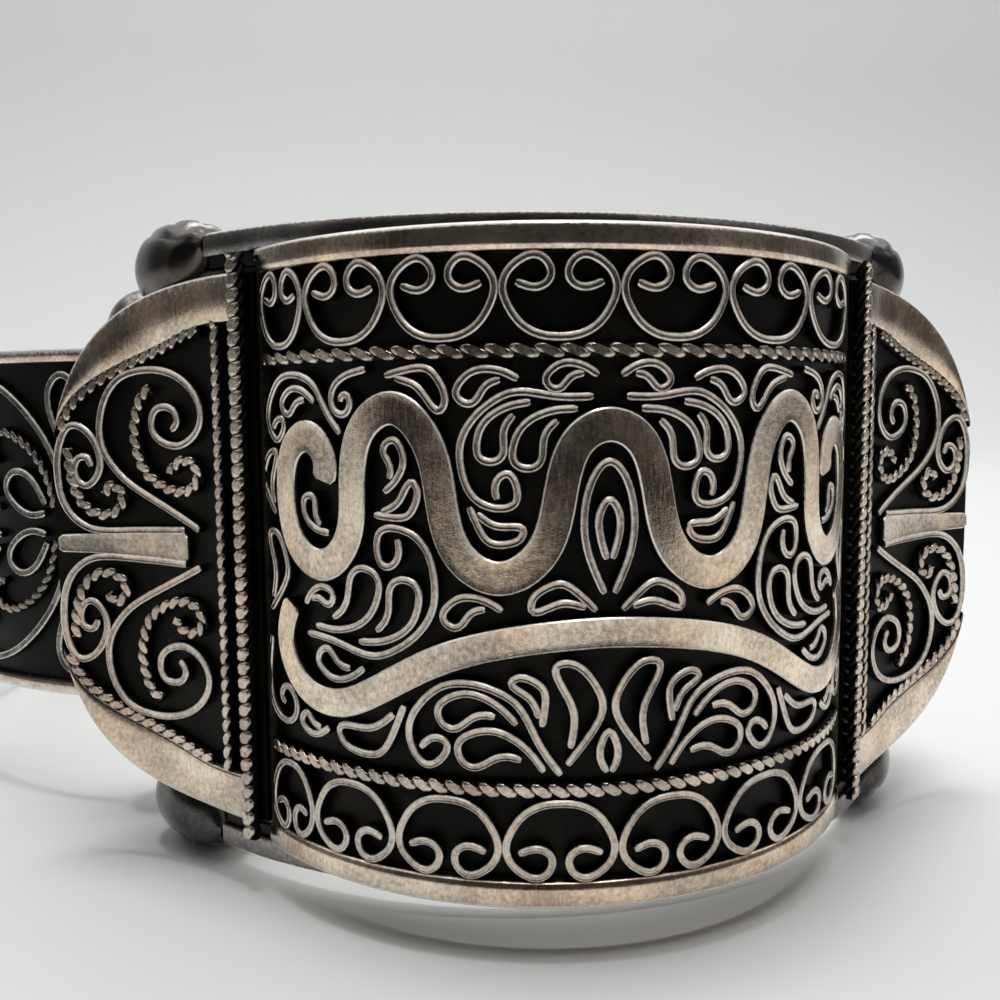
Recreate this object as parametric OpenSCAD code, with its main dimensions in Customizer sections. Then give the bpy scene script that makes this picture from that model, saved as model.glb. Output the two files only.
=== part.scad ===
// Hinged wide bracelet of aged silver, standing on its edge with the rear arm swung open.
// Every height is counted from the lower edge of the centre panel, until the whole is set on the floor.
// The panel faces -Y, the wrist axis runs along Z, and the hinge is on the left, at -X.

/* [Centre panel] */
// Height of the raised centre panel
panel_h = 40; // [39:0.5:41]
// Outer radius of the panel's curve, at the face of its rims
panel_r = 23.4; // [23:0.1:24]
// Angle that the panel spans to each side of its middle
panel_half = 61.5; // [60:0.5:62]
// Distance from the wrist axis forward to the axis of the panel's curve
panel_forward = 14.8; // [14.6:0.1:15.2]
// Thickness of the panel's sheet
panel_t = 1.0; // [0.8:0.1:1.2]
// Height of each plain rim band of the panel
rim_h = 1.7; // [1.4:0.1:2]
// Depth from the face of the rims back to the sheet
relief = 0.9; // [0.7:0.1:1]

/* [Cuff] */
// Outer radius of the cuff's wall
cuff_r = 32.3; // [32.2:0.05:32.4]
// Thickness of the cuff's wall
cuff_t = 1.1; // [1:0.1:1.3]
// Height of the polished rim band along each edge of the front cuff
cuff_rim_h = 1.7; // [1.5:0.1:1.9]
// How far that band stands out from the wall
cuff_rim_out = 0.45; // [0.3:0.05:0.5]
// How far the cuff reaches above and below the panel
cuff_over = 1.6; // [1.2:0.1:2]
// Angle from the middle of the front to the end of each rim band
cuff_rim_half = 47.8; // [46:0.2:49]

/* [Wings] */
// Length of a wing along its curve
wing_l = 17.8; // [17:0.1:18.5]
// Half of a wing's height at its inner edge
wing_half_h = 18.5; // [18:0.1:18.7]
// Power of the rounded outline, where 2 is an ellipse
wing_power = 3.1; // [2.6:0.1:3.6]
// Radius of the wing's face where it lies on the cuff
wing_seat_r = 33.7; // [33.6:0.05:33.8]
// Radius of the outward flare
wing_flare_r = 23; // [22:0.5:24]
// Width of a wing's plain rim bands beside the rope, from where they narrow to a point
wing_rim_w = 3.1; // [2.9:0.1:3.3]
// Thickness of the wing's sheet
wing_t = 0.7; // [0.6:0.1:0.8]

/* [Beads] */
// Radius of the bead at each end of the front rim bands
bead_r = 3.75; // [3.6:0.05:3.75]
// Angle from the middle of the front to a bead
bead_az = 60; // [59.5:0.5:61]
// Distance from the wrist axis to a bead's centre
bead_ring = 30.6; // [30.4:0.1:30.7]
// How far a bead reaches above or below the panel
bead_over = 3.4; // [3.2:0.1:3.6]

/* [Hinge] */
// Angle from the middle of the front to the hinge, and to the catch on the other side
hinge_az = 75; // [74:0.5:76]
// Distance from the wrist axis to the hinge axis
hinge_ring = 31.5; // [31.3:0.1:31.7]
// Outer radius of the barrels
barrel_r = 3.4; // [3.2:0.1:3.5]
// Radius of the pin
pin_r = 1.2; // [1:0.1:1.3]
// Clearance all round between pin and bore
pin_fit = 0.05; // [0.03:0.01:0.08]
// Distance from the panel's edges to the barrels' domed ends
barrel_in = 0.7; // [0.5:0.1:1]
// Angle through which the rear arm stands open
open_angle = 62; // [55:1:70]

/* [Rear arm] */
// Lower edge of the rear band
rear_z = 5.8; // [5.4:0.1:6.2]
// Height of the rear band
rear_h = 28.8; // [28:0.2:29.4]
// Thickness of the rear band's sheet
rear_t = 1.0; // [0.9:0.1:1.2]
// Height of the thin rims of the rear band
rear_rim_h = 1.1; // [0.9:0.1:1.3]
// Angle from the middle of the front to the post at the free end, when closed
post_az = 88.2; // [88:0.2:89]
// Radius of the beads on the free end's post
post_r = 3.2; // [3:0.1:3.3]
// Number of ornament fields round the rear band
rear_fields = 6; // [5:1:6]

/* [Wirework] */
// Width of the flattened wires
wire_w = 0.5; // [0.45:0.05:0.6]
// Width of the broad ribbons in the centre
ribbon_w = 1.9; // [1.7:0.1:2]
// Radius of the horizontal ropes
rope_r = 0.42; // [0.38:0.02:0.45]
// Radius of the upright ropes beside the panel
side_rope_r = 0.52; // [0.45:0.01:0.55]
// Height of the lower rope above the panel's lower edge
rope_z = 7.2; // [7:0.1:7.4]

/* [Hidden] */
$fn = 96;
silver = [0.66, 0.63, 0.60];
worn_silver = [0.74, 0.70, 0.66];
dark_silver = [0.34, 0.33, 0.33];
// Gap between pieces, and depth that wires sink into their sheet
gap = 0.05;
sink = 0.12;
// Radii of the sheets and rims that follow from the sizes above
mid_z = panel_h / 2;
sheet_r = panel_r - relief;
cuff_rim_r = cuff_r + cuff_rim_out;
wing_back_r = cuff_r + gap;
wing_sheet_r = wing_back_r + wing_t;
flare_az = 45;
flare_c = wing_seat_r + wing_flare_r;
wing_start_az = az_of_panel_end() + 0.4;
wing_seat_l = wing_seat_r * rad(flare_az - wing_start_az);
rear_r = cuff_r + 0.1;
rear_rim_r = rear_r + 0.7;
// Hinge, catch and post in plan, and what the barrels need round them
hinge = hinge_ring * [-sin(hinge_az), -cos(hinge_az)];
catch = [-hinge.x, hinge.y];
post = hinge_ring * [sin(post_az), -cos(post_az)];
knuckle_z = rear_z + 0.4;
knuckle_h = panel_h - 2 * knuckle_z;
knuckle_gap = 0.3;
clear_az = deg((barrel_r + 0.35) / hinge_ring);
rear_start_az = hinge_az + clear_az + 0.3;
rear_end_az = post_az + deg((post_r - 0.4) / hinge_ring);
foot_flat = 0.12;
top_z = panel_h + bead_over;
floor_z = -bead_over + foot_flat;

function rad(a) = a * PI / 180;
function deg(a) = a * 180 / PI;
function az_of_panel_end() = atan2(panel_r * sin(panel_half), panel_forward + panel_r * cos(panel_half));

// Where a point p = [length along, height] lies on each curved sheet, d beyond the sheet's face
function on_panel(p, d) =
    let(a = deg(p.x / panel_r), r = sheet_r + d)
    [r * sin(a), -panel_forward - r * cos(a), p.y];
function on_wing(p, d) =
    p.x < wing_seat_l
    ? let(a = wing_start_az + deg(p.x / wing_seat_r), r = wing_sheet_r + d) [r * sin(a), -r * cos(a), p.y]
    : let(b = 90 + flare_az - deg((p.x - wing_seat_l) / wing_flare_r), r = flare_c - wing_sheet_r - d)
      [flare_c * sin(flare_az) + r * cos(b), -flare_c * cos(flare_az) + r * sin(b), p.y];
function on_rear(p, d) =
    let(a = deg(p.x / rear_r), r = rear_r + d)
    [-r * sin(a), r * cos(a), p.y];

// A smooth curve through points p, with n steps between two of them
function smooth(p, n) =
    [for (i = [0:len(p) - 2], k = [0:n - 1])
        let(a = p[max(i - 1, 0)], b = p[i], c = p[i + 1], d = p[min(i + 2, len(p) - 1)], t = k / n)
        b + 0.5 * t * (c - a) + t * t * (a - 2.5 * b + 2 * c - 0.5 * d)
        + 0.5 * t * t * t * (3 * b - a - 3 * c + d),
     p[len(p) - 1]];
function mirrored(p) = [for (q = p) [-q.x, q.y]];
function flipped(p) = [for (q = p) [q.x, 2 * mid_z - q.y]];
function moved(p, by) = [for (q = p) q + by];
function turned(p, a) = [for (q = p) [q.x * cos(a) - q.y * sin(a), q.x * sin(a) + q.y * cos(a)]];
// Both halves of a path whose right half starts at the middle
function whole(p) = concat([for (i = [len(p) - 1:-1:1]) [-p[i].x, p[i].y]], p);

// A flat wire of width w that follows path on a curved sheet, h high above the sheet
module wire(path, w, h, surface) {
    n = len(path);
    corners = [for (i = [0:n - 1])
        let(d = path[min(i + 1, n - 1)] - path[max(i - 1, 0)], side = [-d.y, d.x] / norm(d) * w / 2)
        for (c = [[1, -sink], [-1, -sink], [-1, h], [1, h]])
            let(q = path[i] + c[0] * side)
            surface == "panel" ? on_panel(q, c[1]) : surface == "wing" ? on_wing(q, c[1]) : on_rear(q, c[1])];
    sides = [for (i = [0:n - 2], k = [0:3])
        [4 * i + k, 4 * i + (k + 1) % 4, 4 * i + 4 + (k + 1) % 4, 4 * i + 4 + k]];
    polyhedron(corners, concat([[3, 2, 1, 0]], sides, [[for (k = [0:3]) 4 * (n - 1) + k]]));
}

// A section carried round the axis from angle a0 to a1, both counted from -Y towards +X
module swept(a0, a1) {
    rotate([0, 0, a0 - 90]) rotate_extrude(angle = a1 - a0) children();
}
module wall(r, t, z, h, a0, a1) {
    swept(a0, a1) translate([r - t, z]) square([t, h]);
}

// Section of a band between z0 and z1 with a raised rim of height h along each edge
module rimmed(r, t, out, z0, z1, h) {
    polygon([[r - t, z0], [r + out, z0], [r + out, z0 + h], [r, z0 + h],
             [r, z1 - h], [r + out, z1 - h], [r + out, z1], [r - t, z1]]);
}

// Round barrel from z0 up to z1, with a dome on its foot
module domed_barrel(z0, z1) {
    translate([0, 0, z0]) rotate_extrude() intersection() {
        union() {
            translate([0, barrel_r]) circle(barrel_r);
            translate([0, barrel_r]) square([barrel_r, z1 - z0 - barrel_r]);
        }
        square([2 * barrel_r, z1 - z0]);
    }
}

// Everything is drawn about the wrist axis and then set down with its box centred on the origin
left_x = hinge.x + swung_centre().x - rear_rim_r;
right_x = on_wing([wing_l, mid_z], wing_seat_r - wing_sheet_r).x;
front_y = -panel_forward - panel_r;
back_y = hinge.y + swung_centre().y + rear_rim_r;
function swung_centre() = turned([-hinge], open_angle)[0];
module placed() {
    translate([-(left_x + right_x) / 2, -(front_y + back_y) / 2, -floor_z]) children();
}

// The rear arm is drawn closed and then swung open about the hinge
module swung() {
    translate([hinge.x, hinge.y, 0]) rotate([0, 0, open_angle]) translate([-hinge.x, -hinge.y, 0]) children();
}

// Wall with a polished rim band along each edge, and the end knuckles of hinge and catch
module front_cuff() {
    inner = knuckle_z - knuckle_gap;
    color(dark_silver) placed() difference() {
        union() {
            difference() {
                swept(3 - hinge_az, hinge_az - 3)
                    rimmed(cuff_r, cuff_t, cuff_rim_out, -cuff_over, panel_h + cuff_over, cuff_rim_h);
                for (side = [-1, 1]) {
                    for (z = [-cuff_over - 1, panel_h - 0.9]) mirror([side < 0 ? 1 : 0, 0, 0])
                        wall(cuff_r + 2, cuff_t + 4, z, cuff_over + 1.9, cuff_rim_half, hinge_az);
                    translate([side * catch.x, catch.y, inner - 0.2])
                        cylinder(h = panel_h - 2 * inner + 0.4, r = barrel_r + 0.35);
                }
            }
            for (side = [-1, 1], top = [0, 1])
                translate([side * catch.x, catch.y, top * panel_h]) mirror([0, 0, top])
                    domed_barrel(barrel_in, inner);
        }
        for (side = [-1, 1], z = [bead_r - bead_over, top_z - bead_r])
            translate([side * bead_ring * sin(bead_az), -bead_ring * cos(bead_az), z]) sphere(bead_r + gap);
        for (side = [-1, 1]) translate([side * catch.x, catch.y, barrel_in + 1.2])
            cylinder(h = panel_h - 2 * barrel_in - 2.4, r = pin_r + pin_fit);
    }
}

// Right half of an upper scroll, from its middle to its inward curl, as [share of its half width, up]
row_scroll = [[0, 33.55], [0.31, 33.65], [0.65, 34.2], [0.89, 35.2], [1, 36.3], [0.91, 37.2],
              [0.68, 37.85], [0.43, 38.1], [0.23, 37.75], [0.15, 37.1], [0.23, 36.55], [0.42, 36.3],
              [0.6, 36.4], [0.74, 36.6]];
// Where the seven hand-laid scrolls of a row meet, along the panel
row_ends = [-24.9, -19.8, -13.2, -6.4, 0.6, 7.6, 15.1, 23.3];

// Broad ribbons from the middle to the right, as [width, points along and up]: a garland over a long arch
ribbons = [
    [ribbon_w, [[0, 28.6], [1.9, 27.6], [2.9, 24.6], [3.9, 21.4], [6.4, 19.8], [8.9, 21.2], [9.9, 24.4],
                [10.7, 27.6], [12.9, 29.6], [15.2, 28.2], [15.9, 24.8], [16.3, 21.8], [18.3, 20], [20.8, 21],
                [21.9, 23.8], [21.4, 26.9], [19.5, 27.9], [18.1, 26.6], [18.2, 25.2]]],
    [ribbon_w * 0.9, [[0, 16.6], [5, 16.2], [10, 14.9], [14.2, 12.7], [17.6, 11.4], [20.8, 12.2],
                      [22.4, 14.8], [21.6, 17.2]]]];

// Bends of wire with their tail at the origin and a length of one: open leaf, full leaf, crook and hook
leaf = [[0, 0], [0.28, 0.16], [0.63, 0.21], [0.88, 0.09], [1, -0.115], [0.86, -0.28], [0.7, -0.255],
        [0.56, -0.09], [0.42, 0], [0.28, 0.02]];
full = [[0, 0], [0.25, 0.17], [0.54, 0.31], [0.73, 0.27], [0.93, 0.11], [1, -0.04], [0.965, -0.17],
        [0.85, -0.155], [0.63, -0.02], [0.44, 0.04]];
crook = [[0, 0], [0.18, 0.16], [0.35, 0.345], [0.5, 0.4], [0.65, 0.405], [0.83, 0.345], [0.95, 0.2],
         [1, 0.05], [0.96, -0.09], [0.83, -0.18], [0.74, -0.1], [0.73, -0.01], [0.8, 0.01]];
hook = [[0, 0], [0.3, 0.09], [0.6, 0.12], [0.85, 0.04], [0.98, -0.14], [0.97, -0.36], [0.8, -0.48],
        [0.62, -0.4], [0.58, -0.24], [0.7, -0.16]];
// Leafwork of the right half, as [bend, along, up, lean, length, side that it curves to]
leafwork = [
    [crook, 2.9, 8.2, 14, 9.6, 1],
    [leaf, 5.5, 11.2, 14, 4.8, 1],
    [leaf, 3.9, 8.4, 22, 5.3, 1],
    [crook, 1, 30.2, 319, 9, 1],
    [leaf, 4.6, 29.9, 319, 4.3, 1],
    [leaf, 1.9, 29.5, 326, 4.7, 1],
    [crook, 20, 15.5, 144, 10.8, 1],
    [leaf, 15.6, 15.5, 144, 5.4, 1],
    [leaf, 19.2, 16.1, 152, 6, 1],
    [crook, 16.8, 28.1, 8, 7.4, 1],
    [full, 12.5, 11.9, 327, 5.4, -1],
    [full, 2.5, 8.8, 94, 6, 1],
    [hook, 24.4, 14.6, 266, 5.5, 1],
    [full, 13.4, 31.5, 201, 4.1, -1],
    [full, 24.3, 16.5, 101, 5.2, 1],
    [full, 23.3, 22.8, 83, 4, -1]];
// Drop under the middle of the garland, right half from its top to its open foot
drop = [[0, 26.5], [0.95, 25.6], [1.5, 23.3], [1.25, 21.2], [0.35, 18.9]];

// Raised panel: sheet, two rim bands, two ropes, two rows of scrolls and the ribbons between them
module centre_panel() {
    wire_h = relief - 0.12;
    color(worn_silver) placed() union() {
        difference() {
            translate([0, -panel_forward, 0]) {
                swept(-panel_half, panel_half) rimmed(sheet_r, panel_t, relief, 0, panel_h, rim_h);
                for (z = [rope_z, panel_h - rope_z]) swept(1.5 - panel_half, panel_half - 1.5)
                    translate([sheet_r + rope_r - 0.05, z]) circle(rope_r, $fn = 48);
                for (a = [0.15 - panel_half, panel_half - 1.25])
                    wall(panel_r - 0.12, relief, 0.6, panel_h - 1.2, a, a + 1.1);
            }
            translate([0, 0, -1]) cylinder(h = panel_h + 2, r = cuff_r + gap);
            for (z = [-1, panel_h + cuff_over - cuff_rim_h - gap])
                translate([0, 0, z]) cylinder(h = cuff_rim_h - cuff_over + gap + 1, r = cuff_rim_r + gap);
        }
        for (i = [0:len(row_ends) - 2], top = [0, 1]) {
            half = (row_ends[i + 1] - row_ends[i] - wire_w * 0.9 + 0.08) / 2;
            middle = (row_ends[i] + row_ends[i + 1]) / 2;
            up = moved(whole([for (q = row_scroll) [half * q.x, q.y]]), [middle, 0]);
            wire(top ? up : flipped(up), wire_w * 0.9, wire_h, "panel");
        }
        for (r = ribbons) wire(smooth(whole(r[1]), 2), r[0], wire_h, "panel");
        wire(whole(drop), wire_w * 0.9, wire_h, "panel");
        for (l = leafwork, side = [0, 1]) {
            p = moved(turned([for (q = l[0]) l[4] * [q.x, l[5] * q.y]], l[3]), [l[1], l[2]]);
            wire(side ? p : mirrored(p), wire_w * 0.9, wire_h, "panel");
        }
    }
}

// Wires of a wing's upper half, as [width, points along and up]; the lower half mirrors them
wing_wires = [
    [wire_w, [[5.7, 21.6], [11.9, 23.8], [13.5, 25.6], [14.1, 27.6], [13.6, 30.1], [12, 31.7], [9.6, 32.1],
              [7, 31.4], [5.6, 29.6], [6, 27.6], [7.9, 26.7], [9.9, 27.7], [9.7, 29.7], [8, 30]]],
    [wire_w, [[6.9, 21.1], [10.5, 21], [13.7, 21], [15.5, 21.4], [16.7, 22.8], [17.1, 25], [16.8, 27.4],
              [15.9, 28.4], [14.7, 27.7], [14.1, 26.1], [14.7, 24.7], [15.7, 24.8]]],
    [0.7, [[6.4, 23.5], [8.6, 23.9], [10.5, 25.3], [11.5, 27.4], [11.3, 29.8]]]];

// Outline of a wing as seen along the middle of its flare
wing_outline =
    let(side = [for (k = [0:20])
        let(u = sin(90 * k / 20), q = on_wing([u * wing_l, 0], wing_seat_r - wing_sheet_r))
        [(q.x + q.y) / sqrt(2), wing_half_h * pow(1 - pow(u, wing_power), 1 / wing_power)]])
    concat(side, [for (k = [19:-1:0]) [side[k].x, -side[k].y]]);
// How far the rim bands' inner edge lies below where it starts beside the rope, as [along, down]
rim_taper = [[0, 0.1], [5.4, 0.3], [7.7, 1], [10, 1.8], [12.6, 2.8], [14.7, 3.9], [16.1, 5.3], [16.8, 6.8],
             [18.4, 7.4]];
// Outline of the scrolled field between a wing's two rim bands, in the same view
field_outline =
    let(side = [for (t = rim_taper)
        let(q = on_wing([t.x, 0], wing_seat_r - wing_sheet_r))
        [(q.x + q.y) / sqrt(2), wing_half_h - wing_rim_w - t.y]], n = len(side))
    concat(side, [for (k = [n - 1:-1:0]) [side[k].x, -side[k].y]]);
module wing_prism(outline, from) {
    translate([0, 0, mid_z]) rotate([0, 0, flare_az]) rotate([90, 0, 0]) linear_extrude(60)
        polygon(concat([[from, -outline[0].y], [from, outline[0].y]], outline));
}

// The curved sheet of a wing between two depths, counted from the sheet's face
module wing_wall(d0, d1) {
    wall(wing_sheet_r + d1, d1 - d0, 0, panel_h, wing_start_az, flare_az);
    r1 = flare_c - wing_sheet_r - d0;
    translate([flare_c * sin(flare_az), -flare_c * cos(flare_az), 0])
        rotate([0, 0, 90 + flare_az - 60]) rotate_extrude(angle = 60)
            translate([r1 - (d1 - d0), 0]) square([d1 - d0, panel_h]);
}

// Flared side wing: sheet, a rim band along its top and its foot, middle bar, thin upright rope and scrolls
module wing() {
    face = wing_seat_r - wing_sheet_r;
    intersection() {
        wing_wall(-wing_t, 0);
        wing_prism(wing_outline, -6);
    }
    difference() {
        intersection() {
            wing_wall(-sink, face);
            wing_prism(wing_outline, -6);
        }
        wing_prism(field_outline, -7);
        rope_bar(side_rope_r + gap);
    }
    wire([for (k = [0:6]) [6.8 + k * 1.75, mid_z]], 1.7, face - 0.15, "wing");
    translate(on_wing([3.3, 4.6], 0.3)) cylinder(h = panel_h - 9.2, r = 0.42);
    for (w = wing_wires, up = [0, 1]) {
        p = smooth(w[1], 2);
        wire(up ? p : flipped(p), w[0], face - 0.1, "wing");
    }
}
module left_wing() {
    color(silver) placed() mirror([1, 0, 0]) wing();
}
module right_wing() {
    color(silver) placed() wing();
}

// Thick twisted rope between panel and wing, as a plain round bar
module rope_bar(r) {
    a = wing_start_az + deg((side_rope_r + 0.5) / wing_seat_r);
    ring = wing_sheet_r + side_rope_r + gap;
    translate([ring * sin(a), -ring * cos(a), 0.4]) cylinder(h = panel_h - 0.8, r = r);
}
module left_rope() {
    color(worn_silver) placed() mirror([1, 0, 0]) rope_bar(side_rope_r);
}
module right_rope() {
    color(worn_silver) placed() rope_bar(side_rope_r);
}

// Bead that narrows to a neck at the end of its rim band, flattened a little where it stands
module bead(side, top) {
    z = top ? mid_z - top_z + bead_r : bead_r - bead_over - mid_z;
    at = bead_ring * [sin(bead_az), -cos(bead_az)];
    end_az = cuff_rim_half + deg(gap / cuff_r);
    to = (cuff_rim_r - 0.8) * [sin(end_az), -cos(end_az)] - at;
    translate([0, 0, mid_z]) mirror([side < 0 ? 1 : 0, 0, 0]) mirror([0, 0, top ? 1 : 0]) difference() {
        union() {
            translate([at.x, at.y, z]) sphere(bead_r);
            difference() {
                translate([at.x, at.y, z - 0.4]) rotate([0, 0, atan2(to.y, to.x)]) rotate([0, 90, 0])
                    cylinder(h = norm(to) - 0.12, r1 = bead_r - 0.2, r2 = 1.05);
                translate([at.x - 10, at.y - 10, 0.9 - gap - mid_z]) cube(20);
            }
        }
        translate([at.x, at.y, -bead_over - mid_z - 5 + foot_flat]) cube(10, center = true);
    }
}
module bead_top_left() {
    color(dark_silver) placed() bead(-1, true);
}
module bead_foot_left() {
    color(dark_silver) placed() bead(-1, false);
}
module bead_top_right() {
    color(dark_silver) placed() bead(1, true);
}
module bead_foot_right() {
    color(dark_silver) placed() bead(1, false);
}

// Pins through the barrels
module pin(at) {
    translate([at.x, at.y, barrel_in + 1.3]) cylinder(h = panel_h - 2 * barrel_in - 2.6, r = pin_r);
}
module hinge_pin() {
    color(dark_silver) placed() pin(hinge);
}
module catch_pin() {
    color(dark_silver) placed() pin(catch);
}

rear_len = rear_r * rad(360 - rear_start_az - rear_end_az);
rear_mid = rear_r * rad((rear_end_az - rear_start_az) / 2);
rear_pitch = (rear_len - 4) / rear_fields;
// Wires of one field of the rear band, upper half, as [width, points along and up from the middle]
rear_wires = [
    [0.7, [[0, 0.9], [4.6, 2.2], [6.6, 5.4], [6, 9.4], [3, 11.4], [-0.4, 10.4], [-1.6, 7.6], [0.2, 5.2],
           [2.8, 5.8], [3, 8.2]]],
    [0.7, [[-1.6, 1.4], [-4.4, 4], [-4.6, 8.2], [-5.8, 11.2], [-7.4, 9], [-6.6, 6.4]]]];

// Rear band with thin rims, ornament fields and the long middle knuckle of the hinge
module rear_band() {
    a0 = rear_end_az;
    a1 = 360 - rear_start_az;
    color(silver) placed() swung() difference() {
        union() {
            swept(a0, a1) rimmed(rear_r, rear_t, rear_rim_r - rear_r, rear_z, rear_z + rear_h, rear_rim_h);
            wall(rear_r - 0.1, rear_t + 0.1, knuckle_z + 0.2, knuckle_h - 0.4, a1 - 1, 357 - hinge_az);
            translate([hinge.x, hinge.y, knuckle_z]) cylinder(h = knuckle_h, r = barrel_r);
            for (i = [0:rear_fields - 1], w = rear_wires, up = [-1, 1]) {
                x = rear_mid + (i - (rear_fields - 1) / 2) * rear_pitch;
                p = [for (q = smooth(w[1], 2)) [x + q.x, rear_z + rear_h / 2 + up * q.y]];
                wire(p, w[0], 0.6, "rear");
            }
        }
        translate([hinge.x, hinge.y, knuckle_z - 1]) cylinder(h = knuckle_h + 2, r = pin_r + pin_fit);
        translate([post.x, post.y, rear_z - 1]) cylinder(h = rear_h + 2, r = post_r - 0.4 + gap);
    }
}

// Jaw that closes over the catch pin from behind
module catch_jaw() {
    bore_r = pin_r + 0.3;
    slot = 2 * pin_r + 0.4;
    color(dark_silver) placed() swung() difference() {
        union() {
            translate([catch.x, catch.y, knuckle_z]) cylinder(h = knuckle_h, r = barrel_r);
            wall(rear_r - 0.1, rear_t + 0.1, knuckle_z + 0.2, knuckle_h - 0.4, hinge_az + 3, post_az);
        }
        translate([catch.x, catch.y, knuckle_z - 1]) cylinder(h = knuckle_h + 2, r = bore_r);
        translate([catch.x - slot / 2, catch.y - 2 * barrel_r, knuckle_z - 1])
            cube([slot, 2 * barrel_r, knuckle_h + 2]);
        translate([post.x, post.y, rear_z - 1]) cylinder(h = rear_h + 2, r = post_r - 0.4 + gap);
    }
}

// Upright post with a bead at each end, which the free end stands on
module end_post() {
    h = panel_h - barrel_in;
    color(dark_silver) placed() swung() translate([post.x, post.y, 0]) difference() {
        union() {
            translate([0, 0, post_r - bead_over]) cylinder(h = h - 2 * post_r + bead_over, r = post_r - 0.4);
            translate([0, 0, post_r - bead_over]) sphere(post_r);
            translate([0, 0, h - post_r]) sphere(post_r);
        }
        translate([0, 0, -bead_over - 5 + foot_flat]) cube(10, center = true);
    }
}

front_cuff();
centre_panel();
left_wing();
right_wing();
left_rope();
right_rope();
bead_top_left();
bead_foot_left();
bead_top_right();
bead_foot_right();
hinge_pin();
catch_pin();
rear_band();
catch_jaw();
end_post();
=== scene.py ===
import math
import bpy
import numpy as np
from mathutils import Matrix, Vector


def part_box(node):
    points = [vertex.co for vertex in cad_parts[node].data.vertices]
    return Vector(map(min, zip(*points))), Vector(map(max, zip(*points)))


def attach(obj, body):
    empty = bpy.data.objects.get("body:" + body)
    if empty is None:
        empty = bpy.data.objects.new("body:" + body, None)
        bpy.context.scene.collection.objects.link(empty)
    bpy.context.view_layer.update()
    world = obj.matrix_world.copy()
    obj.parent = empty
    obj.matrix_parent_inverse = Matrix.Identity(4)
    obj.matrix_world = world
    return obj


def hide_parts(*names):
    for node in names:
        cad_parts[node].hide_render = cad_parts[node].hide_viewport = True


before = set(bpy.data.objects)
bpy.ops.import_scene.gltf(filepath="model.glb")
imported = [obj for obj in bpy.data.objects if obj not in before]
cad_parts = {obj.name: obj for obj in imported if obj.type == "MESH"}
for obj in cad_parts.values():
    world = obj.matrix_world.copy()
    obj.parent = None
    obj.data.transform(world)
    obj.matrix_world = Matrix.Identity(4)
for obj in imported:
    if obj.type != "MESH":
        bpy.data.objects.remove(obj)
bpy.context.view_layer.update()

# The place of the bracelet. Lengths below are millimetres from the wrist axis at the height of the centre
# panel's lower edge, with the panel facing -Y; place() turns them into metres in the frame.
panel_low, panel_high = (np.array(corner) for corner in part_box("centre_panel"))
WRIST = np.array([(panel_low[0] + panel_high[0]) / 2, panel_low[1] + 0.0382, panel_low[2]])
MIDDLE = 20.0


def place(points):
    """Millimetres about the wrist axis as metres in the frame: scaled by a thousandth and shifted."""
    return np.asarray(points, float) * 0.001 + WRIST


# The surface it stands on is one pale sweep of paper: flat, then a quarter circle, then a wall. Three soft
# boxes hang over it.
def sheet_of(rows):
    """Quads between neighbouring rows of points: (i, j), (i, j+1), (i+1, j+1), (i+1, j)."""
    n, m = rows.shape[:2]
    k = np.arange(n * m).reshape(n, m)
    return rows.reshape(-1, 3), np.stack([k[:-1, :-1], k[:-1, 1:], k[1:, 1:], k[1:, :-1]], -1).reshape(-1, 4)


def new_object(name, points, quads, smooth_below=None):
    """One mesh object from points and quads; edges flatter than smooth_below degrees are shaded smooth."""
    mesh = bpy.data.meshes.new(name)
    mesh.vertices.add(len(points))
    mesh.vertices.foreach_set("co", np.asarray(points, np.float32).ravel())
    mesh.loops.add(quads.size)
    mesh.loops.foreach_set("vertex_index", quads.astype(np.int32).ravel())
    mesh.polygons.add(len(quads))
    mesh.polygons.foreach_set("loop_start", np.arange(0, quads.size, 4, dtype=np.int32))
    mesh.update(calc_edges=True)
    if smooth_below is not None:
        mesh.polygons.foreach_set("use_smooth", np.ones(len(quads), bool))
        mesh.set_sharp_from_angle(angle=math.radians(smooth_below))
    thing = bpy.data.objects.new(name, mesh)
    bpy.context.scene.collection.objects.link(thing)
    return thing


class Field:
    """A number or colour that varies over a surface; + - and * on it add Math nodes."""

    def __init__(self, finish, socket):
        self.finish, self.socket = finish, socket

    def math(self, operation, a, b):
        return self.finish.node("ShaderNodeMath", {"operation": operation}, {0: a, 1: b})

    def __add__(self, other):
        return self.math("ADD", self, other)

    def __sub__(self, other):
        return self.math("SUBTRACT", self, other)

    def __mul__(self, other):
        return self.math("MULTIPLY", self, other)


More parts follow.
